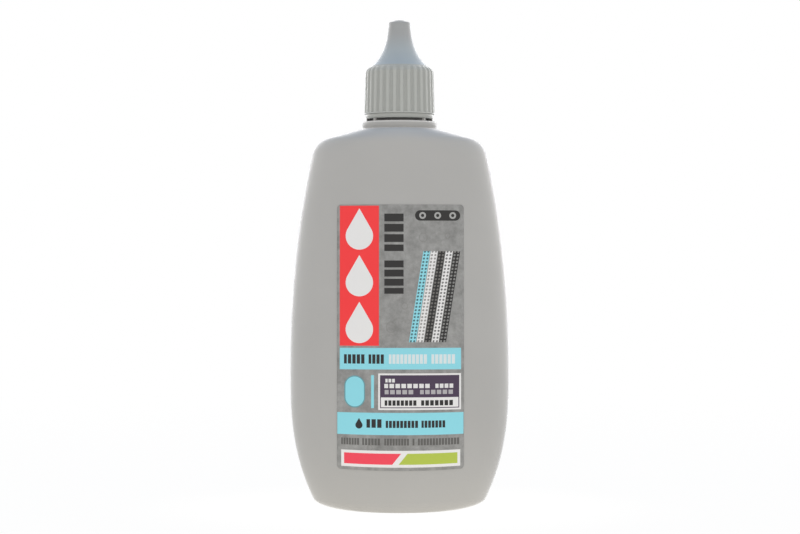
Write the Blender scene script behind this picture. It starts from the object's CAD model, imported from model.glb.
import math
import bpy
import numpy as np
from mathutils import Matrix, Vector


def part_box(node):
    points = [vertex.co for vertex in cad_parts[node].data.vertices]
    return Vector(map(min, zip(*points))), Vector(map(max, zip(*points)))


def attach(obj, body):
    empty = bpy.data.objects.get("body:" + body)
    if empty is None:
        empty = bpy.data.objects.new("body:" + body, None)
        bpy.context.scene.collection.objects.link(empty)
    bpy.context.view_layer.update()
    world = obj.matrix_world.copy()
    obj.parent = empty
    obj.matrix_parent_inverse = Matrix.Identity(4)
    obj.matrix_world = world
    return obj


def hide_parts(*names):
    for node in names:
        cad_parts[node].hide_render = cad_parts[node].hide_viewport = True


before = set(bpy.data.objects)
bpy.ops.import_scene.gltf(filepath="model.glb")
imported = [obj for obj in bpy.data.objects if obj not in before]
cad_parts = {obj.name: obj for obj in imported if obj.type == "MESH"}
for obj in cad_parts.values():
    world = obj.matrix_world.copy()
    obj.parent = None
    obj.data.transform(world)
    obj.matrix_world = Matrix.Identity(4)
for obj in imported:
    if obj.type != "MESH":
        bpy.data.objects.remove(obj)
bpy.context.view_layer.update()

mm = 0.001
print("frame loaded with", len(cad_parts), "solids")


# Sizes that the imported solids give, in millimetres
def boxOf(node):
    low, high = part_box(node)
    return [c / mm for c in low], [c / mm for c in high]


bottleHigh = boxOf("bottle")[1]
capLow, capHigh = boxOf("screw_cap")
ringLow = boxOf("tear_off_ring")[0]
plugHigh = boxOf("dropper_plug")[1]
labelLow, labelHigh = boxOf("front_label")

body = {
    "halfWidth": bottleHigh[0],
    "halfDepth": bottleHigh[1],
    "bellyZ": 38.0,          # widest level
    "shoulderZ": 101.0,      # where the sides turn over
    "topDraw": (6.3, 1.8),   # how far the sides and the front draw in upwards
    "footDraw": (8.2, 1.5),  # and downwards
    "topPower": 2.27,
    "footPower": 2.59,
    "squareness": 2.2,
    "blend": 12.0,           # height over which the oval turns round at the neck
    "shoulderRadius": 6.6,
    "shoulderSlope": math.radians(15.2),
    "footHeight": 3.1,
    "footReach": (9.5, 1.2),
    "hollow": 1.0,
    "hollowRamp": 2.0,
    "hollowRings": (0.15, 0.4, 0.7, 0.95),
    "standRim": 3.0,
    "rimRings": (0.2, 0.95, 5),
    "wall": 1.0,
    "columns": 232,
    "rampRows": 9,
    "footRows": 18,
    "footStart": 0.06,
    "sideRows": 62,
    "shoulderRows": 48,
    "innerRows": 24,
    "innerStep": 4,          # the inside takes every fourth row of the shoulder
}
neck = {
    "collarRadius": 10.7,
    "collarHeight": 2.1,
    "slopeOut": 0.2,         # the shoulder's slope ends this far outside the collar
    # corners of the collar: how far out, how high over its foot or top, reach of the rounding
    "collarSide": (
        (0.05, 0, 0), (-0.18, 0.04, 0.1), (-0.14, 0.35, 0.2), (0.01, 0.95, 0.4), (0.01, 1.35, 0.3),
    ),
    "collarTop": ((-0.1, -0.12, 0.28), (-0.5, 0, 0.25)),
    "radius": 8.0,
    "height": 12.7,
    "bore": 6.9,
    "beadOut": 0.5,
    "beadHeight": 0.7,
    "beadCrest": (0.3, 0.55),
    "threadOut": 0.4,
    "threadPitch": 3.0,
    "threadTurns": 1.6,
    "threadStart": 2.2,      # above the bead's foot
    "threadWidth": 0.55,
    "threadFlank": 1.6,
    "threadRunOut": 0.06,
    "rowHeight": 0.22,
    "lugs": 4,
    "lugSize": (1.0, 0.4, 0.7),
    "lugIn": 0.5,            # from the collar's edge
    "lugTurn": math.radians(45),
    "stops": 2,
    "stopSize": (1.5, 3.4, 0.85),
    "stopRadius": 8.65,
}
rimZ = bottleHigh[2]
collarZ = rimZ - neck["height"]
bodyZ = collarZ - neck["collarHeight"]
neckFoot = neck["collarRadius"] + neck["slopeOut"]


# Meshes from rings of points, all given in millimetres
def ringMesh(name, rings, loop=False):
    rings = np.asarray(rings, dtype=float)
    count, around = rings.shape[:2]
    points = rings.reshape(-1, 3)
    here = np.arange(around)
    beside = np.roll(here, -1)
    faces = []
    for row in range(count if loop else count - 1):
        low, high = row * around, (row + 1) % count * around
        faces += np.column_stack([low + here, low + beside, high + beside, high + here]).tolist()
    if not loop:
        first, last = len(points), len(points) + 1
        top = (count - 1) * around
        points = np.vstack([points, rings[0].mean(axis=0), rings[-1].mean(axis=0)])
        faces += [[first, int(b), int(a)] for a, b in zip(here, beside)]
        faces += [[top + int(a), top + int(b), last] for a, b in zip(here, beside)]
    mesh = bpy.data.meshes.new(name)
    mesh.from_pydata((points * mm).tolist(), [], faces)
    mesh.update()
    mesh.shade_smooth()
    return mesh


def addObject(name, mesh, *materials):
    obj = bpy.data.objects.new(name, mesh)
    bpy.context.scene.collection.objects.link(obj)
    mesh.materials.clear()
    for material in materials:
        mesh.materials.append(material)
    return obj


onePoint = 1e-6              # points closer than this are one point


# An outline with its corners rounded: each corner is (radius, height, reach of its rounding)
def soften(corners, loop=False, steps=4, longest=0.5):
    outline = []
    for i, (r, z, reach) in enumerate(corners):
        here = np.array((r, z))
        if reach == 0:
            outline.append(here)
            continue
        before = np.array(corners[i - 1][:2]) - here
        after = np.array(corners[(i + 1) % len(corners)][:2]) - here
        start = here + before * min(reach / np.hypot(*before), 0.5)
        end = here + after * min(reach / np.hypot(*after), 0.5)
        for t in np.linspace(0, 1, steps + 1):
            outline.append((1 - t) ** 2 * start + 2 * t * (1 - t) * here + t * t * end)
    filled = []
    ends = outline[1:] + outline[:1] if loop else outline[1:]
    for a, b in zip(outline, ends):
        parts = max(1, math.ceil(np.hypot(*(b - a)) / longest))
        filled += [a + (b - a) * k / parts for k in range(parts)]
    if not loop:
        filled.append(outline[-1])
    follows = filled[1:] + [filled[0] + 1]
    return np.array([p for p, q in zip(filled, follows) if np.hypot(*(q - p)) > onePoint])


def lathe(outline, turns):
    radii, heights = outline[:, 0], outline[:, 1]
    return np.stack([
        radii[:, None] * np.cos(turns),
        radii[:, None] * np.sin(turns),
        np.broadcast_to(heights[:, None], (len(heights), len(turns))),
    ], axis=-1)


# The blown body: half its width, half its depth and the power of its oval at each height
def drawnIn(z, top, foot):
    up = np.clip((z - body["bellyZ"]) / (body["shoulderZ"] - body["bellyZ"]), 0, None)
    down = np.clip((body["bellyZ"] - z) / body["bellyZ"], 0, None)
    return top * up ** body["topPower"] + foot * down ** body["footPower"]


def footIn(z, reach):
    t = np.clip(1 - z / body["footHeight"], 0, 1)
    return reach * (1 - np.sqrt(1 - t * t))


topSide, topFront = body["topDraw"]
footSide, footFront = body["footDraw"]
sideRun = body["shoulderZ"] - body["bellyZ"]
sideSlope = math.atan(topSide * body["topPower"] / sideRun)
frontSlope = topFront * body["topPower"] / sideRun
arcX = body["halfWidth"] - topSide - body["shoulderRadius"] * math.cos(sideSlope)
arcZ = body["shoulderZ"] - body["shoulderRadius"] * math.sin(sideSlope)
arcEndZ = arcZ + body["shoulderRadius"] * math.cos(body["shoulderSlope"])
shoulderHeight = bodyZ - body["shoulderZ"]
shoulderDepth = body["halfDepth"] - topFront


def halfWidth(z):
    side = body["halfWidth"] - drawnIn(z, topSide, footSide) - footIn(z, body["footReach"][0])
    arc = arcX + np.sqrt(np.clip(body["shoulderRadius"] ** 2 - (z - arcZ) ** 2, 0, None))
    cone = neckFoot + (bodyZ - z) / math.tan(body["shoulderSlope"])
    return np.where(z < body["shoulderZ"], side, np.where(z < arcEndZ, arc, cone))


def halfDepth(z):
    side = body["halfDepth"] - drawnIn(z, topFront, footFront) - footIn(z, body["footReach"][1])
    t = np.clip((z - body["shoulderZ"]) / shoulderHeight, 0, 1)
    turned = neckFoot + (shoulderDepth - neckFoot) * np.sqrt(1 - t * t)
    turned = turned - frontSlope * shoulderHeight * t * (1 - t) ** 2
    return np.where(z < body["shoulderZ"], side, turned)


def powerAt(z):
    share = np.clip((bodyZ - z) / body["blend"], 0, 1)
    return 2 + (body["squareness"] - 2) * np.sin(share * math.pi / 2)


def ovalRings(widths, depths, powers, heights, turns):
    c, s = np.cos(turns), np.sin(turns)
    bend = 2 / np.asarray(powers)[:, None]
    x = np.asarray(widths)[:, None] * np.sign(c) * np.abs(c) ** bend
    y = np.asarray(depths)[:, None] * np.sign(s) * np.abs(s) ** bend
    z = np.broadcast_to(np.asarray(heights)[:, None], x.shape)
    return np.stack([x, y, z], axis=-1)


def frontY(x, z):
    share = np.clip(np.abs(x) / halfWidth(z), 0, 1) ** powerAt(z)
    return -halfDepth(z) * (1 - share) ** (1 / powerAt(z))


# A ridge that climbs round a wall as a thread: 1 on its crest, 0 beside it
def threadRidge(turns, heights, start):
    ridge = np.zeros((len(heights), len(turns)))
    for lap in range(math.ceil(neck["threadTurns"]) + 1):
        turned = (turns % (2 * math.pi)) / (2 * math.pi) + lap
        off = np.abs(heights[:, None] - start - neck["threadPitch"] * turned) / neck["threadWidth"]
        toEnd = np.minimum(turned, neck["threadTurns"] - turned)
        ends = np.clip(toEnd / neck["threadRunOut"], 0, 1)
        ridge = np.maximum(ridge, np.clip(neck["threadFlank"] * (1 - off), 0, 1) * ends)
    return ridge


# One small class for node trees: it wraps a socket, and arithmetic on it adds Math nodes
class Wire:
    def __init__(self, tree, socket=None):
        self.tree = tree
        self.socket = socket

    def node(self, kind, settings=None, inputs=None, output=0):
        made = self.tree.nodes.new(kind)
        for name, value in (settings or {}).items():
            if name == "stops":
                ramp = made.color_ramp.elements
                for i, (place, colour) in enumerate(value):
                    stop = ramp[i] if i < 2 else ramp.new(place)
                    stop.position, stop.color = place, colour
            else:
                setattr(made, name, value)
        for name, value in (inputs or {}).items():
            if isinstance(value, Wire):
                self.tree.links.new(value.socket, made.inputs[name])
            else:
                made.inputs[name].default_value = value
        return Wire(self.tree, made.outputs[output] if made.outputs else None)

    def math(self, operation, *values):
        return self.node("ShaderNodeMath", {"operation": operation}, dict(enumerate(values)))

    def vector(self, operation, inputs, output=0):
        return self.node("ShaderNodeVectorMath", {"operation": operation}, inputs, output)

    def mix(self, mask, below, above):
        return self.node("ShaderNodeMix", {"data_type": "RGBA"}, {0: mask, 6: below, 7: above}, 2)

    # Rises smoothly from 0 at the first value to 1 at the second
    def ramp(self, first, second):
        return self.node("ShaderNodeMapRange", {"interpolation_type": "SMOOTHSTEP"}, {
            "Value": self, "From Min": first, "From Max": second,
        })

    def noise(self, scale, detail, more=None):
        inputs = {"Vector": self, "Scale": scale, "Detail": detail}
        return self.node("ShaderNodeTexNoise", inputs={**inputs, **(more or {})})

    def parts(self):
        split = self.node("ShaderNodeSeparateXYZ", inputs={0: self}).socket.node
        return [Wire(self.tree, socket) for socket in split.outputs]

    def __add__(self, other):
        return self.math("ADD", self, other)

    def __sub__(self, other):
        return self.math("SUBTRACT", self, other)

    def __rsub__(self, other):
        return self.math("SUBTRACT", other, self)

    def __mul__(self, other):
        return self.math("MULTIPLY", self, other)

    def __truediv__(self, other):
        return self.math("DIVIDE", self, other)

    def __mod__(self, other):
        return self.math("FLOORED_MODULO", self, other)

    def __pow__(self, other):
        return self.math("POWER", self, other)

    def __lt__(self, other):
        return self.math("LESS_THAN", self, other)

    def __gt__(self, other):
        return self.math("GREATER_THAN", self, other)

    def __abs__(self):
        return self.math("ABSOLUTE", self)

    __radd__ = __add__


# Colours are written as they are seen, 0 to 255. The shine of the plastic adds a little to each.
shine = 0.036
darkest = 0.004


def seen(red, green, blue):
    linear = [((c / 255 + 0.055) / 1.055) ** 2.4 for c in (red, green, blue)]
    return tuple(max(darkest, c - shine) for c in linear) + (1,)


def newMaterial(name):
    material = bpy.data.materials.new(name)
    material.use_nodes = True
    material.node_tree.nodes.clear()
    return material, Wire(material.node_tree)


def surface(wire, shader):
    wire.node("ShaderNodeOutputMaterial", inputs={"Surface": shader})


moulded = {
    "cloud": 0.025,          # share by which the colour goes up and down
    "cloudScale": 45,
    "grainScale": 1400,
    "grainDepth": 0.0002,
    "glossRange": 0.06,
    "sheenRoughness": 0.25,
    "ior": 1.5,
}


# Moulded plastic: faint cloudiness in its colour, a fine grain in its gloss and surface
def plastic(name, colour, roughness, grain=0.02, frost=0.0, tint=None):
    material, wire = newMaterial(name)
    place = wire.node("ShaderNodeTexCoord", output="Object")
    broad = place.noise(moulded["cloudScale"], 3) - 0.5
    fine = place.noise(moulded["grainScale"], 2)
    darker, lighter = (
        tuple(c * (1 + share) for c in colour[:3]) + (1,)
        for share in (-moulded["cloud"], moulded["cloud"])
    )
    bump = wire.node("ShaderNodeBump", inputs={
        "Strength": grain, "Distance": moulded["grainDepth"], "Height": fine,
    })
    base = wire.mix(broad * 2 + 0.5, darker, lighter)
    surface(wire, wire.node("ShaderNodeBsdfPrincipled", inputs={
        "Base Color": tint(wire, place, base) if tint else base,
        "Sheen Weight": frost,
        "Sheen Roughness": moulded["sheenRoughness"],
        "Roughness": (fine - 0.5) * moulded["glossRange"] + roughness,
        "IOR": moulded["ior"],
        "Normal": bump,
    }))
    return material


# Multiplies a colour where the mask is 1
def scaled(wire, mask, colour, level):
    return wire.mix(mask, colour, wire.vector("SCALE", {0: colour, "Scale": level}))


shades = {
    "crease": 0.16,          # the deep corner at the neck's foot takes little light
    "creaseRadius": 9.3,
    "creaseSunk": 0.2,
    "collar": 0.9,
    "collarFoot": 0.05,
    "edge": 1.35,            # the collar's upper edge takes more
    "edgeHeight": (0.45, 0.02),
    "domeDepth": (4.5, 0.5),     # the dome under the collar is a little cooler
    "domeTint": (0.93, 0.985, 1.07),
    "valley": 0.91,          # between the cap's ribs
    "crest": 1.08,
    "lip": 1.15,
    "lipHeight": 0.4,
    "flareRise": 13.15,
    "flareTints": (
        (0.0, (0.85, 0.85, 0.85, 1)), (1.0, (0.735, 0.731, 0.774, 1)),
        (0.03, (0.752, 0.85, 1.0, 1)), (0.35, (0.778, 0.85, 0.96, 1)), (0.7, (0.74, 0.74, 0.79, 1)),
    ),
}


def neckShades(wire, place, base):
    x, y, z = (part / mm for part in place.parts())
    radius = (x * x + y * y) ** 0.5
    crease = (radius < shades["creaseRadius"]) * (z > collarZ - shades["creaseSunk"])
    low, high = shades["edgeHeight"]
    masks = {
        "crease": crease * (z < capLow[2]),
        "edge": (z > collarZ - low) * (z < collarZ - high),
        "collar": (z > bodyZ + shades["collarFoot"]) * (z < collarZ - low),
    }
    for name, mask in masks.items():
        base = scaled(wire, mask, base, shades[name])
    deep, shallow = shades["domeDepth"]
    dome = z.ramp(bodyZ - deep, bodyZ - shallow) * (z < bodyZ)
    return wire.mix(dome, base, wire.vector("MULTIPLY", {0: base, 1: shades["domeTint"]}))


def capShades(wire, place, base):
    z = place.parts()[2] / mm
    for name in ("valley", "crest"):
        mask = wire.node("ShaderNodeAttribute", {"attribute_name": name}, output="Fac")
        base = scaled(wire, mask, base, shades[name])
    lip = (z > capLow[2]) * (z < capLow[2] + shades["lipHeight"])
    base = scaled(wire, lip, base, shades["lip"])
    up = (z - (capHigh[2] - shades["flareRise"])) / shades["flareRise"]
    tint = wire.node("ShaderNodeValToRGB", {"stops": shades["flareTints"]}, {0: up})
    return wire.vector("MULTIPLY", {0: base, 1: tint})


bottlePlastic = plastic("bottle plastic", seen(173, 172, 168), 0.42, frost=1.0, tint=neckShades)
capPlastic = plastic(
    "cap plastic", seen(179, 181, 175), 0.38, grain=0.015, frost=0.4, tint=capShades,
)
plugPlastic = plastic("plug plastic", seen(226, 226, 218), 0.35)
print("plastics ready")

# What is printed on the label. Places are in millimetres: across from its middle, up from the base.
# A row of blocks is (left, right, how many), and its lowest and highest level where they differ.
labelPrint = {
    "film": (144, 144, 141),
    "red": (242, 68, 70),
    "white": (227, 226, 223),
    "cyan": (143, 213, 223),
    "dark": (54, 50, 49),
    "violet": (80, 68, 86),
    "pink": (235, 80, 95),
    "green": (176, 192, 84),
    "soft": (122, 120, 116),
    "mottleScales": (420, 110),      # of the fine and the broad speckles
    "mottleShares": (2.2, 1.2),
    "mottleTones": (0.87, 1.11),
    "faintRings": (
        (-2.6, 52.4, 1.3), (1.2, 58.3, 0.8), (6.4, 77.4, 1.1), (-8.6, 18.6, 0.7), (13.2, 77.9, 0.7),
    ),
    "ringSquash": 0.9,
    "ringLine": 0.13,
    "ringShare": 0.35,
    "blockGap": 0.24,                # share of the step from block to block
    "redPanel": (-17.0, -6.0, 47.2, 86.3),
    "drops": 3,
    "dropShare": 0.295,              # a drop's radius and its middle, in steps from drop to drop
    "dropMiddle": 0.352,
    "dropPoint": 0.577,              # how fast a drop widens below its point
    "uprights": (-4.5, 0.9),
    "uprightRows": ((61.7, 71.9, 4), (73.6, 85.1, 4)),
    "pill": (4.1, 16.8, 82.1, 85.0),
    "pillRings": 3,
    "pillRing": (0.45, 0.95),
    "pillTone": 1.15,
    "barField": (2.4, 17.0, 48.2, 73.6),
    "barStep": 1.1,                  # from bar to bar and the lean of all, in widths of a bar
    "barLean": 2.1,
    "bars": ("cyan", "white", "dark", "white", "dark"),
    "dots": ("dark", "soft", "soft", "dark", "film"),
    "dotSizes": (0.3, 0.96, 0.8),    # radius, step and strength
    "upperBand": (-17.0, 17.0, 40.6, 46.6),
    "upperRows": (42.2, 44.8),
    "upperDark": ((-15.8, -9.6, 5), (-8.9, -4.2, 4)),
    "upperPale": ((-3.2, 7.8, 10), (8.7, 15.7, 6)),
    "paleShare": 0.8,
    "tablet": (-15.7, -9.9, 29.9, 38.9),
    "tabletEdge": 0.3,
    "tabletTone": 0.72,
    "line": (-8.2, -7.4, 29.8, 39.0),
    "frame": (-6.2, 17.0, 29.3, 39.5),
    "frameWidth": 0.5,
    "stripIn": 0.75,
    "stripZ": 32.8,
    "boxBlocks": (
        ("white", 0.95, (
            (-4.2, -1.2, 3, 37.0, 38.0), (-4.5, 8.8, 8, 35.4, 36.6), (9.8, 15.3, 4, 35.4, 36.6),
        )),
        ("white", 0.5, ((-4.4, 4.2, 5, 33.7, 34.9), (5.5, 15.3, 6, 33.7, 34.9))),
        ("dark", 1, ((-4.4, 4.9, 8, 30.5, 32.0), (5.8, 15.2, 7, 30.5, 32.0))),
    ),
    "lowerBand": (-17.7, 17.7, 22.3, 28.5),
    "darkDrop": (-11.6, 25.0, 1.0),
    "lowerBlocks": (
        (-9.5, -4.7, 3, 24.3, 26.7), (-4.1, 5.3, 9, 24.3, 26.3), (5.9, 12.9, 7, 24.3, 26.3),
    ),
    "fineBlocks": (
        (-16.6, -11.3, 7), (-10.7, -5.4, 6), (-4.5, 2.7, 9), (3.4, 4.2, 1), (4.9, 16.8, 14),
    ),
    "fineRows": (19.4, 21.3),
    "fineShare": 0.85,
    "fineTone": 0.75,
    "stripe": (-16.6, 16.8, 13.2, 17.9),
    "stripeFrame": 0.8,
    "stripeLean": 2.5,
    "stripeSplit": (-2.3, -0.5),
}
label = {
    "halfWidth": labelHigh[0],
    "low": labelLow[2],
    "high": labelHigh[2],
    "shift": 0.25,           # the film sits a little to the right of the middle
    "lowered": 0.25,         # the photograph's film ends a little lower
    "film": 0.15,
    "sunk": 0.02,            # its back lies this deep in the wall
    "corner": 1.0,
    "cornerRows": 9,
    "drape": 0.5,            # how far the lower corners ride up on the curved front
    "drapePower": 2.1,
    "drapeTop": 50.0,
    "columns": 72,
    "rows": 150,
    "roughness": 0.4,
    "ripple": (0.04, 0.0004, 90),
}


def within(value, low, high):
    return abs(value - (low + high) / 2) < (high - low) / 2


def field(x, z, left, right, low, high):
    return within(x, left, right) * within(z, low, high)


def roundField(x, z, left, right, low, high, radius):
    dx = abs(x - (left + right) / 2) - ((right - left) / 2 - radius)
    dz = abs(z - (low + high) / 2) - ((high - low) / 2 - radius)
    dx = dx.math("MAXIMUM", dx, 0)
    dz = dz.math("MAXIMUM", dz, 0)
    return dx * dx + dz * dz < radius * radius


# A row of plain blocks, as many as the count says
def blockRow(x, z, left, right, count, low, high):
    step = (right - left) / count
    gap = step * labelPrint["blockGap"]
    block = ((x - left + gap / 2) % step) < step - gap
    return block * field(x, z, left, right - gap, low, high)


# A drop: a round foot, and a straight point that starts half a radius above its middle
def dropMark(x, z, radius):
    foot = x * x + z * z < radius * radius
    width = (2 * radius - z) * labelPrint["dropPoint"]
    point = (abs(x) < width) * within(z, radius / 2, 2 * radius)
    return foot.math("MAXIMUM", foot, point)


def printedFilm():
    spot = labelPrint
    material, wire = newMaterial("printed film")
    place = wire.node("ShaderNodeTexCoord", output="Object")
    x, z = wire.node("ShaderNodeUVMap", {"uv_map": "flat"}).parts()[:2]
    x = (x - 0.5) * (2 * label["halfWidth"])
    z = z * (label["high"] - label["low"]) + label["low"]

    def tone(name, level=1.0):
        return seen(*[c * level for c in spot[name]])

    def put(mask, name, level=1.0):
        nonlocal colour
        colour = wire.mix(mask, colour, tone(name, level))

    # a speckled ground with a few faint rings
    fine, broad = spot["mottleShares"]
    dark, light = spot["mottleTones"]
    cloud = place.noise(spot["mottleScales"][0], 6, {"Roughness": 0.75})
    stain = place.noise(spot["mottleScales"][1], 3, {"Distortion": 1.5})
    mottle = cloud * fine + stain * broad - (fine + broad - 1) / 2
    colour = wire.mix(mottle, tone("film", dark), tone("film", light))
    for middle, height, radius in spot["faintRings"]:
        dx, dz = x - middle, (z - height) * spot["ringSquash"]
        far = (dx * dx + dz * dz) ** 0.5
        put((abs(far - radius) < spot["ringLine"]) * spot["ringShare"], "soft")

    # drops on the red panel
    left, right, low, high = spot["redPanel"]
    put(field(x, z, left, right, low, high), "red")
    step = (high - low) / spot["drops"]
    dropZ = (z - low) % step - step * spot["dropMiddle"]
    drops = dropMark(x - (left + right) / 2, dropZ, step * spot["dropShare"])
    put(drops * (z > low), "white")

    # upright blocks, and the pill with its rings
    left, right = spot["uprights"]
    dark = sum(blockRow(z, x, *row, left, right) for row in spot["uprightRows"])
    left, right, low, high = spot["pill"]
    put(dark + roundField(x, z, left, right, low, high, (high - low) / 2), "dark")
    step = (right - left) / spot["pillRings"]
    across = (x - left) % step - step / 2
    up = z - (low + high) / 2
    far = across * across + up * up
    inner, outer = spot["pillRing"]
    rings = (far < outer * outer) * (far > inner * inner) * within(x, left, right)
    put(rings, "film", spot["pillTone"])

    # leaning bars with two columns of dots each
    left, right, low, high = spot["barField"]
    run = len(spot["bars"]) * spot["barStep"]
    barWidth = (right - left) / (run + spot["barLean"])
    along = x - left - (z - low) * ((right - left - run * barWidth) / (high - low))
    dotRadius, dotStep, dotShare = spot["dotSizes"]
    dotUp = z % dotStep - dotStep / 2
    for i, (barTone, dotTone) in enumerate(zip(spot["bars"], spot["dots"])):
        start = i * barWidth * spot["barStep"]
        bar = within(along, start, start + barWidth) * within(z, low, high)
        put(bar, barTone)
        across = (along - start) % (barWidth / 2) - barWidth / 4
        dots = bar * (across * across + dotUp * dotUp < dotRadius * dotRadius)
        put(dots * dotShare, dotTone)

    # the upper band
    put(field(x, z, *spot["upperBand"]), "cyan")
    put(sum(blockRow(x, z, *row, *spot["upperRows"]) for row in spot["upperDark"]), "dark")
    pale = sum(blockRow(x, z, *row, *spot["upperRows"]) for row in spot["upperPale"])
    put(pale * spot["paleShare"], "white")

    # the tablet with its outline, and the line beside it
    left, right, low, high = spot["tablet"]
    edge, radius = spot["tabletEdge"], (right - left) / 2
    put(roundField(x, z, left, right, low, high, radius), "cyan", spot["tabletTone"])
    inner = (left + edge, right - edge, low + edge, high - edge)
    put(roundField(x, z, *inner, radius - edge) + field(x, z, *spot["line"]), "cyan")

    # the framed box with its pale strip
    left, right, low, high = spot["frame"]
    edge = spot["frameWidth"]
    put(field(x, z, left, right, low, high), "white")
    put(field(x, z, left + edge, right - edge, low + edge, high - edge), "violet")
    edge = spot["stripIn"]
    put(field(x, z, left + edge, right - edge, low + edge, spot["stripZ"]), "white")
    for name, share, rows in spot["boxBlocks"]:
        put(sum(blockRow(x, z, *row) for row in rows) * share, name)

    # the lower band, and the fine row under it
    put(field(x, z, *spot["lowerBand"]), "cyan")
    dropX, dropHeight, radius = spot["darkDrop"]
    dark = dropMark(x - dropX, z - dropHeight, radius)
    put(dark + sum(blockRow(x, z, *row) for row in spot["lowerBlocks"]), "dark")
    fine = sum(blockRow(x, z, *row, *spot["fineRows"]) for row in spot["fineBlocks"])
    put(fine * spot["fineShare"], "soft", spot["fineTone"])

    # the stripe in two colours with its slanted split
    left, right, low, high = spot["stripe"]
    edge = spot["stripeFrame"]
    lean = (z - low - edge) * (spot["stripeLean"] / (high - low - 2 * edge))
    inner = within(z, low + edge, high - edge)
    pinkEnd, greenEnd = spot["stripeSplit"]
    put(field(x, z, left, right, low, high), "white")
    put(inner * (x > left + edge) * (x - lean < pinkEnd), "pink")
    put(inner * (x - lean > greenEnd) * (x < right - edge), "green")

    strength, depth, scale = label["ripple"]
    surface(wire, wire.node("ShaderNodeBsdfPrincipled", inputs={
        "Base Color": colour,
        "Roughness": label["roughness"],
        "IOR": moulded["ior"],
        "Normal": wire.node("ShaderNodeBump", inputs={
            "Strength": strength, "Distance": depth, "Height": place.noise(scale, 2),
        }),
    }))
    return material


filmMaterial = printedFilm()
print("label print ready")


# Starts a tree with its named inputs, and gives them back by name
def startTree(name, inputs):
    tree = bpy.data.node_groups.new(name, "GeometryNodeTree")
    for title, kind in {"Geometry": "Geometry", **inputs, "Material": "Material"}.items():
        tree.interface.new_socket(title, in_out="INPUT", socket_type="NodeSocket" + kind)
    tree.interface.new_socket("Geometry", in_out="OUTPUT", socket_type="NodeSocketGeometry")
    source = tree.nodes.new("NodeGroupInput")
    return Wire(tree), {socket.name: Wire(tree, socket) for socket in source.outputs if socket.name}


def endTree(wire, geometry, material):
    solid = wire.node("GeometryNodeRealizeInstances", inputs={"Geometry": geometry})
    dressed = wire.node("GeometryNodeSetMaterial", inputs={"Geometry": solid, "Material": material})
    sink = wire.tree.nodes.new("NodeGroupOutput")
    wire.tree.links.new(dressed.socket, sink.inputs[0])
    return wire.tree


# The tree for the cap's grip ribs: it pushes the skirt out where the ribs stand
def gripRibTree():
    wire, given = startTree("grip ribs", {
        "Rib count": "Float", "Rib height": "Float", "Rib share": "Float",
        "Edge softness": "Float", "Turn": "Float",
    })
    x, y = wire.node("GeometryNodeInputPosition").parts()[:2]
    angle = wire.math("ARCTAN2", y, x) / (2 * math.pi)
    off = abs((angle * given["Rib count"] - given["Turn"] + 0.5) % 1 - 0.5) * 2
    clear = ((given["Rib share"] - off) / given["Edge softness"] + 0.5).ramp(0, 1)
    weight = wire.node("GeometryNodeInputNamedAttribute", {"data_type": "FLOAT"}, {"Name": "rib"})
    outwards = wire.vector("NORMALIZE", {0: wire.node("ShaderNodeCombineXYZ", inputs={0: x, 1: y})})
    lift = wire.vector("SCALE", {0: outwards, "Scale": clear * weight * given["Rib height"]})
    moved = wire.node("GeometryNodeSetPosition", inputs={
        "Geometry": given["Geometry"], "Offset": lift,
    })
    for name, share in (("valley", (1 - clear) * weight), ("crest", clear * weight)):
        moved = wire.node("GeometryNodeStoreNamedAttribute", inputs={
            "Geometry": moved, "Name": name, "Value": share,
        })
    return endTree(wire, moved, given["Material"])


# The tree for small blocks that stand in a ring, such as lugs and bridges
def blockRingTree():
    wire, given = startTree("blocks in a ring", {
        "Count": "Int", "Radius": "Float", "Height": "Float", "Turn": "Float", "Size": "Vector",
    })
    angle = wire.node("GeometryNodeInputIndex") / given["Count"] * (2 * math.pi) + given["Turn"]
    place = wire.node("ShaderNodeCombineXYZ", inputs={
        0: angle.math("COSINE", angle) * given["Radius"],
        1: angle.math("SINE", angle) * given["Radius"],
        2: given["Height"],
    })
    stand = wire.node("GeometryNodePoints", inputs={"Count": given["Count"], "Position": place})
    flat = wire.vector("MULTIPLY", {0: place, 1: (1, 1, 0)})
    facing = wire.node("FunctionNodeAlignRotationToVector", {"axis": "X"}, {"Vector": flat})
    block = wire.node("GeometryNodeMeshCube", inputs={"Size": given["Size"]})
    many = wire.node("GeometryNodeInstanceOnPoints", inputs={
        "Points": stand, "Instance": block, "Rotation": facing,
    })
    return endTree(wire, many, given["Material"])


# Runs a tree on an object and keeps the result as its plain mesh
def applyTree(obj, tree, values):
    modifier = obj.modifiers.new(tree.name, "NODES")
    modifier.node_group = tree
    sockets = {s.name: s.identifier for s in tree.interface.items_tree if s.in_out == "INPUT"}
    for name, value in values.items():
        modifier[sockets[name]] = value
    bpy.context.view_layer.update()
    graph = bpy.context.evaluated_depsgraph_get()
    plain = bpy.data.meshes.new_from_object(obj.evaluated_get(graph))
    obj.modifiers.remove(modifier)
    obj.data = plain
    return obj


def addBlocks(obj, tree, values):
    blocks = addObject(obj.name + "_blocks", bpy.data.meshes.new("blocks"))
    applyTree(blocks, tree, values)
    with bpy.context.temp_override(active_object=obj, selected_editable_objects=[obj, blocks]):
        bpy.ops.object.join()
    return obj


ribTree = gripRibTree()
blockTree = blockRingTree()
print("node trees ready")


def evenTurns(count):
    return np.arange(count) * (2 * math.pi / count)


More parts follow.
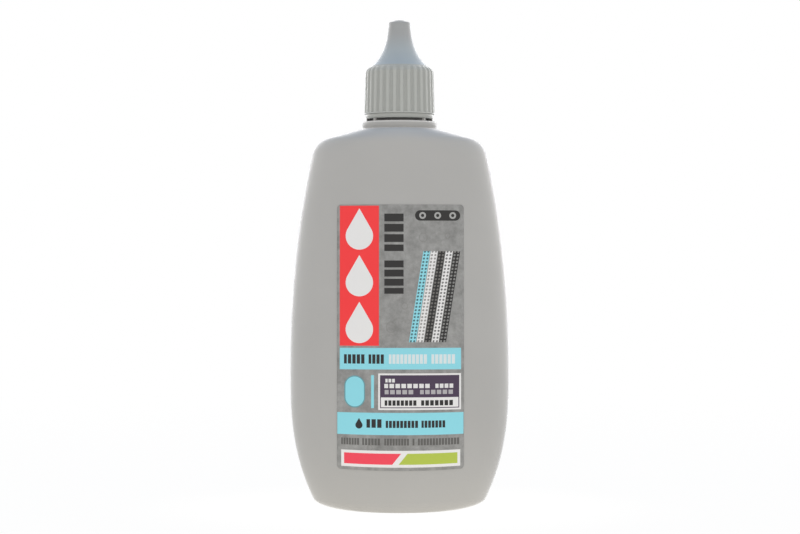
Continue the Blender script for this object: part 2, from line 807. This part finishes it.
# The bottle: from the middle of its base up the outside, over the rim and down the inside
def makeBottle():
    turns = evenTurns(body["columns"])
    quarter = math.pi / 2
    rings = []

    def oval(widths, depths, heights):
        heights = np.asarray(heights, dtype=float)
        rings.extend(ovalRings(widths, depths, powerAt(heights), heights, turns))

    # the hollow under the base and the rim that the bottle stands on
    rimWidth = float(halfWidth(np.array(0.0))) - body["standRim"]
    rimDepth = float(halfDepth(np.array(0.0))) - body["standRim"]
    shares = np.array(body["hollowRings"])
    flatWidth, flatDepth = rimWidth - body["hollowRamp"], rimDepth - body["hollowRamp"]
    oval(flatWidth * shares, flatDepth * shares, [body["hollow"]] * len(shares))
    ramp = np.linspace(0, 1, body["rampRows"])
    fall = body["hollow"] * (1 - ramp * ramp * (3 - 2 * ramp))
    oval(flatWidth + body["hollowRamp"] * ramp, flatDepth + body["hollowRamp"] * ramp, fall)
    out = np.linspace(*body["rimRings"]) * body["standRim"]
    oval(rimWidth + out, rimDepth + out, [0] * len(out))

    # foot, sides and shoulder
    lift = np.linspace(body["footStart"], 1, body["footRows"])
    foot = body["footHeight"] * (1 - np.cos(lift * quarter))
    sides = np.linspace(body["footHeight"], body["shoulderZ"], body["sideRows"])[1:]
    climb = np.linspace(0, 1, body["shoulderRows"])[1:]
    shoulder = body["shoulderZ"] + shoulderHeight * np.sin(climb * quarter)
    heights = np.concatenate([foot, sides, shoulder])
    oval(halfWidth(heights), halfDepth(heights), heights)

    # collar, neck with its bead and thread, rim and bore
    collar, radius, bore = neck["collarRadius"], neck["radius"], neck["bore"]
    beadZ, beadRadius, beadHeight = capLow[2], radius + neck["beadOut"], neck["beadHeight"]
    ceiling = bodyZ - body["wall"]
    outline = soften([
        *[(collar + out, bodyZ + up, reach) for out, up, reach in neck["collarSide"]],
        *[(collar + out, collarZ + up, reach) for out, up, reach in neck["collarTop"]],
        (radius, collarZ, 0.25),
        (radius, beadZ, 0.1),
        *[(beadRadius, beadZ + beadHeight * share, 0.12) for share in neck["beadCrest"]],
        (radius, beadZ + beadHeight, 0.1),
        (radius, rimZ, 0.3),
        (bore, rimZ, 0.3),
        (bore, ceiling + 0.3, 0.2),
        (bore + 0.4, ceiling, 0),
    ], longest=neck["rowHeight"])
    turned = lathe(outline, turns)
    outside = (outline[:, 0] > radius - 0.01) & (outline[:, 1] > beadZ + 1)
    ridge = threadRidge(turns, outline[:, 1], beadZ + neck["threadStart"])
    ridge *= neck["threadOut"] * outside[:, None]
    turned[:, :, 0] += ridge * np.cos(turns)
    turned[:, :, 1] += ridge * np.sin(turns)
    rings.extend(turned)

    # the inside follows the outside at the wall's distance
    wall = body["wall"]
    under = shoulder[::-body["innerStep"]][1:]
    inner = np.concatenate([
        [ceiling],
        under[under < ceiling - 0.3],
        np.linspace(body["shoulderZ"], body["hollow"] + 2 * wall, body["innerRows"]),
        [body["hollow"] + wall],
    ])
    lower, upper = np.clip(inner - wall, 0, None), np.clip(inner + wall, None, bodyZ)
    widths = np.minimum(halfWidth(lower), halfWidth(upper)) - wall
    depths = np.minimum(halfDepth(lower), halfDepth(upper)) - wall
    oval(widths, depths, inner)
    oval(widths[-1:] / 2, depths[-1:] / 2, inner[-1:])

    obj = addObject("bottle_blown", ringMesh("bottle_blown", rings), bottlePlastic)
    lugRadius = collar - neck["lugIn"] - neck["lugSize"][0] / 2
    for count, size, distance, turn in (
        (neck["lugs"], neck["lugSize"], lugRadius, neck["lugTurn"]),
        (neck["stops"], neck["stopSize"], neck["stopRadius"], 0.0),
    ):
        reach, wide, high = size
        addBlocks(obj, blockTree, {
            "Count": count,
            "Radius": distance * mm,
            "Height": collarZ * mm,
            "Turn": turn,
            "Size": (reach * mm, wide * mm, 2 * high * mm),
            "Material": bottlePlastic,
        })
    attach(obj, "bottle")
    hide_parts("bottle")
    return obj


cap = {
    "radius": 10.0,          # over the ribs, at the lower edge
    "draft": 0.3,
    "ribs": 30,
    "ribOut": 0.35,
    "ribShare": 0.5,
    "ribColumns": 12,
    "ribTurn": 0.3 - 90 / 12,    # in steps of 12 degrees: the front, and 0.3 of a step more
    "ribSoftness": 0.3,
    "ribStart": 0.06,        # how far over the lip the ribs begin
    "lipHeight": 0.35,
    "lipOut": 0.03,
    "lipEdge": 0.04,
    "skirt": 11.9,
    "turnHeight": 1.65,
    "turnPower": 1.5,
    "turnRows": 18,
    "ledgeFall": 0.15,
    "ledge": 0.1,
    "flareRadius": 7.95,
    "flareHeight": 11.7,
    "flareSteepness": 2.5,
    "flareRows": 50,
    "tipRadius": 3.1,
    "tipHeight": 1.1,
    "wall": 1.05,
    "innerRows": 18,
    "closedEnd": 1.4,
    "bore": 8.7,
    "ceiling": 1.05,         # above the neck's rim
    "pin": 0.45,
    "pinLength": 2.2,
    "nub": (1.7, 0.35),
    "axis": 0.05,            # the outline ends this close to the axis
}
capZ = capLow[2]
lipZ = capZ + cap["lipHeight"]
skirtZ = capZ + cap["skirt"]
ledgeZ = skirtZ + cap["turnHeight"] + cap["ledgeFall"]
flareTop = ledgeZ + cap["flareHeight"]
tipZ = flareTop + cap["tipHeight"]
endZ = tipZ - cap["closedEnd"]

def flare(z):
    steep = cap["flareSteepness"]
    down = np.clip((flareTop - z) / cap["flareHeight"], 0, None)
    out = np.expm1(steep * down) / math.expm1(steep)
    return cap["tipRadius"] + (cap["flareRadius"] - cap["tipRadius"]) * out


# How much of its reach the cap's rounded shoulder still has at a height
def turned(z):
    up = np.clip((z - skirtZ) / cap["turnHeight"], 0, 1)
    return (1 - up ** cap["turnPower"]) ** (1 / cap["turnPower"])


# The cap: from its pin down the inside, round the lip, up the ribs and the flare to the tip
def makeCap():
    pitch = 2 * math.pi / cap["ribs"]
    marks = np.arange(cap["ribs"] * cap["ribColumns"]) / cap["ribColumns"]
    turns = (marks + cap["ribTurn"]) * pitch
    root = cap["radius"] - cap["ribOut"]
    top = root - cap["draft"]
    ledge = cap["flareRadius"] + cap["ledge"]
    wall, bore, pin, axis = cap["wall"], cap["bore"], cap["pin"], cap["axis"]
    innerTop = ledgeZ + wall / 2
    ceiling = rimZ + cap["ceiling"]
    nub, nubHeight = cap["nub"]

    inside = [
        (flare(z) - wall, z, 0) for z in np.linspace(endZ - 0.3, innerTop, cap["innerRows"])
    ]
    inner = soften([
        (axis, endZ - cap["pinLength"], 0), (pin, endZ - cap["pinLength"], 0.15), (pin, endZ, 0.1),
        (flare(endZ) - wall, endZ, 0.2), *inside,
        (flare(innerTop) - wall, ceiling, 0.3), (bore, ceiling, 0.3), (bore, capZ, 0.12),
    ])
    share = 1 - (1 - np.linspace(0, 1, cap["turnRows"])[1:]) ** cap["turnPower"]
    shoulder = [
        (ledge + (top - ledge) * turned(z), z, 0) for z in skirtZ + cap["turnHeight"] * share
    ]
    share = np.linspace(0.03, 1, cap["flareRows"])
    curve = [(flare(z), z, 0) for z in ledgeZ + cap["flareHeight"] * share]
    lip = cap["radius"] + cap["lipOut"]
    outer = soften([
        (lip - cap["lipEdge"], capZ, 0.03), (lip, (capZ + lipZ) / 2, 0.12),
        (lip - cap["lipEdge"], lipZ, 0.05), (root, lipZ + cap["ribStart"], 0.08), (top, skirtZ, 0),
        *shoulder, (cap["flareRadius"] + 0.02, ledgeZ, 0.1), *curve,
        (cap["tipRadius"], tipZ - 0.1, 0.8), (nub + 0.2, tipZ, 0.3),
        (nub - 0.2, tipZ + nubHeight, 0.4), (axis, tipZ + nubHeight, 0),
    ])
    outline = np.vstack([inner, outer])
    mesh = ringMesh("cap", lathe(outline, turns))

    # where the ribs stand, for the tree
    weight = np.zeros(len(outline))
    heights = outer[:, 1]
    weight[len(inner):] = np.clip((heights - lipZ) / cap["ribStart"], 0, 1) * turned(heights)
    rib = mesh.attributes.new("rib", "FLOAT", "POINT")
    spread = np.append(np.repeat(weight, len(turns)), (0, 0))
    rib.data.foreach_set("value", spread.astype(np.float32))
    obj = addObject("screw_cap_ribbed", mesh, capPlastic)
    applyTree(obj, ribTree, {
        "Rib count": cap["ribs"],
        "Rib height": cap["ribOut"] * mm,
        "Rib share": cap["ribShare"],
        "Edge softness": cap["ribSoftness"],
        "Turn": cap["ribTurn"],
        "Material": capPlastic,
    })
    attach(obj, "cap")
    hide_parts("screw_cap")
    return obj


tearOff = {
    "bore": 8.25,
    "slit": 0.02,
    "lowerBy": 0.12,         # the ring's lower edge hangs this much lower than the solid's
    "taper": 0.2,
    "columns": 240,
    "bridges": 12,
    "bridgeSize": (0.6, 0.5),
    "bridgeSunk": 0.05,
    "bridgeTurn": math.radians(15),
}


# The tear-off ring and its little bridges up to the cap
def makeRing():
    low, high = ringLow[2] - tearOff["lowerBy"], capLow[2] - tearOff["slit"]
    edge = cap["radius"] - cap["ribOut"]
    outline = soften([
        (tearOff["bore"], high, 0.08), (tearOff["bore"], low, 0.08),
        (edge - tearOff["taper"], low, 0.12), (edge, (low + high) / 2, 0.15), (edge, high, 0.04),
    ], loop=True)
    mesh = ringMesh("ring", lathe(outline, evenTurns(tearOff["columns"])), True)
    obj = addObject("tear_off_ring_turned", mesh, capPlastic)
    deep, wide = tearOff["bridgeSize"]
    tall = 2 * (capLow[2] - tearOff["bridgeSunk"] - high)
    addBlocks(obj, blockTree, {
        "Count": tearOff["bridges"],
        "Radius": (edge - tearOff["bridgeSunk"] - deep / 2) * mm,
        "Height": high * mm,
        "Turn": tearOff["bridgeTurn"],
        "Size": (deep * mm, wide * mm, tall * mm),
        "Material": capPlastic,
    })
    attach(obj, "ring")
    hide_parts("tear_off_ring")
    return obj


plug = {
    "flange": (7.8, 0.9),
    "depth": 6.0,
    "wall": 1.0,
    "spout": (3.4, 1.5),
    "orifice": 0.75,
    "entry": (0.3, 1),       # the chamfer at the skirt's lower edge
    "columns": 160,
}


# The dropper plug: flange, spout with its orifice, and the skirt that grips the bore
def makePlug():
    flangeRadius, flangeHeight = plug["flange"]
    foot, tip = plug["spout"]
    bore, orifice, wall = neck["bore"], plug["orifice"], plug["wall"]
    chamfer, chamferHeight = plug["entry"]
    top = plugHigh[2]
    flangeZ, skirtEnd = rimZ + flangeHeight, rimZ - plug["depth"]
    outline = soften([
        (bore, rimZ, 0), (flangeRadius, rimZ, 0.12), (flangeRadius, flangeZ, 0.2),
        (foot, flangeZ, 0.5), (tip, top, 0.3), (orifice, top, 0.12),
        (orifice, top - cap["pinLength"] - 1, 0.3), (foot - wall, flangeZ, 0.3),
        (foot - wall, rimZ, 0.2), (bore - wall, rimZ - wall, 0.3), (bore - wall, skirtEnd, 0.15),
        (bore - chamfer, skirtEnd, 0.15), (bore, skirtEnd + chamferHeight, 0.2),
    ], loop=True)
    mesh = ringMesh("plug", lathe(outline, evenTurns(plug["columns"])), True)
    obj = addObject("dropper_plug_turned", mesh, plugPlastic)
    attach(obj, "bottle")
    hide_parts("dropper_plug")
    return obj


# The label: a thin film that lies on the front, with round corners
def makeLabel():
    half, corner = label["halfWidth"], label["corner"]
    low, high = label["low"] - label["lowered"], label["high"]
    across = np.linspace(-1, 1, label["columns"] + 1)
    close = corner * (1 - np.cos(np.linspace(0, 1, label["cornerRows"]) * math.pi / 2))
    straight = np.linspace(low + corner, high - corner, label["rows"])[1:-1]
    up = np.concatenate([low + close, straight, high - close[::-1]])
    inset = np.clip(corner - np.minimum(up - low, high - up), 0, corner)
    width = half - (corner - np.sqrt(corner ** 2 - inset ** 2))
    flatX = width[:, None] * across
    flatZ = np.broadcast_to(up[:, None], flatX.shape)
    run = np.clip((label["drapeTop"] - flatZ) / (label["drapeTop"] - low), 0, None)
    x = flatX + label["shift"]
    z = flatZ + label["drape"] * run ** label["drapePower"] * (flatX / half) ** 2
    y = frontY(x, z)
    front = np.stack([x, y - label["film"], z], axis=-1)
    back = np.stack([x, y + label["sunk"], z], axis=-1)
    rows, columns = x.shape
    points = np.vstack([front.reshape(-1, 3), back.reshape(-1, 3)])
    index = np.arange(rows * columns).reshape(rows, columns)
    a, b, c, d = index[:-1, :-1], index[:-1, 1:], index[1:, 1:], index[1:, :-1]
    faces = np.stack([a, b, c, d], axis=-1).reshape(-1, 4).tolist()
    deep = rows * columns
    faces += (np.stack([d, c, b, a], axis=-1).reshape(-1, 4) + deep).tolist()
    edge = np.concatenate([index[0, :-1], index[:-1, -1], index[-1, :0:-1], index[:0:-1, 0]])
    after = np.roll(edge, -1)
    faces += np.column_stack([after, edge, edge + deep, after + deep]).tolist()
    mesh = bpy.data.meshes.new("front_label")
    mesh.from_pydata((points * mm).tolist(), [], faces)
    mesh.update()
    mesh.shade_smooth()
    flat = np.stack([(flatX + half) / (2 * half), (flatZ - low) / (high - low)], axis=-1)
    flat = np.vstack([flat.reshape(-1, 2)] * 2)
    corners = np.zeros(len(mesh.loops), dtype=np.int32)
    mesh.loops.foreach_get("vertex_index", corners)
    uv = mesh.uv_layers.new(name="flat")
    uv.data.foreach_set("uv", flat[corners].astype(np.float32).ravel())
    obj = addObject("front_label_printed", mesh, filmMaterial)
    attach(obj, "bottle")
    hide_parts("front_label")
    return obj


for make in (makeBottle, makeCap, makeRing, makePlug, makeLabel):
    made = make()
    print(made.name, "made,", len(made.data.polygons), "faces")

stage = {
    "floorSize": 8.0,
    "floorColour": (0.86, 0.85, 0.83, 1),
    "tableGlow": (1.0, 0.97, 0.92, 1),
    "tableLevel": 1.38,
    "tableShare": 0.8,       # of the glow in the lit middle of the table
    "tableRadii": (0.02, 0.09),
    "floorWhite": 0.92,      # how much of the floor's white hides the table from the camera
    "whiteRadii": (0.12, 0.6),
    "skyTop": (0.36, 0.43, 0.54, 1),
    "skySide": (1.07, 1.0, 0.93, 1),
    "skyLevel": 1.455,
    "backShare": 2.4,        # how much brighter the tent is behind the bottle
    "skyBack": (0.99, 1.0, 1.03, 1),
    "rightShare": 0.06,      # and on the right
    "white": (1, 1, 1, 1),
    "cameraPlace": (0.00014, -0.686, 0.0691),
    "lens": 108,
    "sensor": 36,
    "nearest": 0.01,
}


# 1 for what the camera sees straight or by the given other rays
def cameraRays(wire, *others):
    paths = wire.node("ShaderNodeLightPath").socket.node
    mask = Wire(wire.tree, paths.outputs["Is Camera Ray"])
    for name in others:
        mask = mask.math("MAXIMUM", mask, Wire(wire.tree, paths.outputs[name]))
    return mask


# 1 inside the first radius and 0 beyond the second
def lamplit(distance, radii):
    return 1 - distance.ramp(*radii)


def makeStage():
    material, wire = newMaterial("white table")
    place = wire.node("ShaderNodeTexCoord", output="Object")
    distance = wire.vector("LENGTH", {0: place}, "Value")
    plain = wire.node("ShaderNodeBsdfDiffuse", inputs={"Color": stage["floorColour"]})
    glow = wire.node("ShaderNodeEmission", inputs={
        "Color": stage["tableGlow"], "Strength": stage["tableLevel"],
    })
    white = wire.node("ShaderNodeEmission", inputs={"Color": stage["white"], "Strength": 1})
    lit = lamplit(distance, stage["tableRadii"]) * stage["tableShare"]
    table = wire.node("ShaderNodeMixShader", inputs={0: lit, 1: plain, 2: glow})
    shadow = lamplit(distance, stage["whiteRadii"]) * (1 - stage["floorWhite"])
    seenWhite = cameraRays(wire, "Is Glossy Ray", "Is Transmission Ray") * (1 - shadow)
    surface(wire, wire.node("ShaderNodeMixShader", inputs={0: seenWhite, 1: table, 2: white}))
    half = stage["floorSize"] / 2
    corners = [(-half, -half, 0), (half, -half, 0), (half, half, 0), (-half, half, 0)]
    mesh = bpy.data.meshes.new("floor")
    mesh.from_pydata(corners, [], [(0, 1, 2, 3)])
    addObject("floor", mesh, material)

    world = bpy.data.worlds.new("light tent")
    bpy.context.scene.world = world
    world.use_nodes = True
    world.node_tree.nodes.clear()
    wire = Wire(world.node_tree)
    right, away, height = wire.node("ShaderNodeTexCoord", output="Generated").parts()
    tent = wire.node("ShaderNodeValToRGB", {
        "stops": ((0.2, stage["skySide"]), (1.0, stage["skyTop"]), (0.5, stage["skySide"])),
    }, {0: height * 0.5 + 0.5})
    behind = away.math("MAXIMUM", away, 0) * (1 - abs(height))
    level = (behind * behind * stage["backShare"] + 1) * (right * stage["rightShare"] + 1)
    tent = wire.vector("SCALE", {0: wire.mix(behind, tent, stage["skyBack"]), "Scale": level})
    light = wire.node("ShaderNodeBackground", inputs={"Color": tent, "Strength": stage["skyLevel"]})
    white = wire.node("ShaderNodeBackground", inputs={"Color": stage["white"], "Strength": 1})
    both = wire.node("ShaderNodeMixShader", inputs={
        0: cameraRays(wire, "Is Transmission Ray"), 1: light, 2: white,
    })
    wire.node("ShaderNodeOutputWorld", inputs={"Surface": both})

    camera = bpy.data.objects.new("camera", bpy.data.cameras.new("camera"))
    bpy.context.scene.collection.objects.link(camera)
    camera.location = stage["cameraPlace"]
    camera.rotation_euler = (math.radians(90), 0, 0)
    camera.data.lens = stage["lens"]
    camera.data.sensor_width = stage["sensor"]
    camera.data.clip_start = stage["nearest"]
    bpy.context.scene.camera = camera
    bpy.context.scene.view_settings.view_transform = "Standard"


makeStage()
print("stage, light and camera ready")
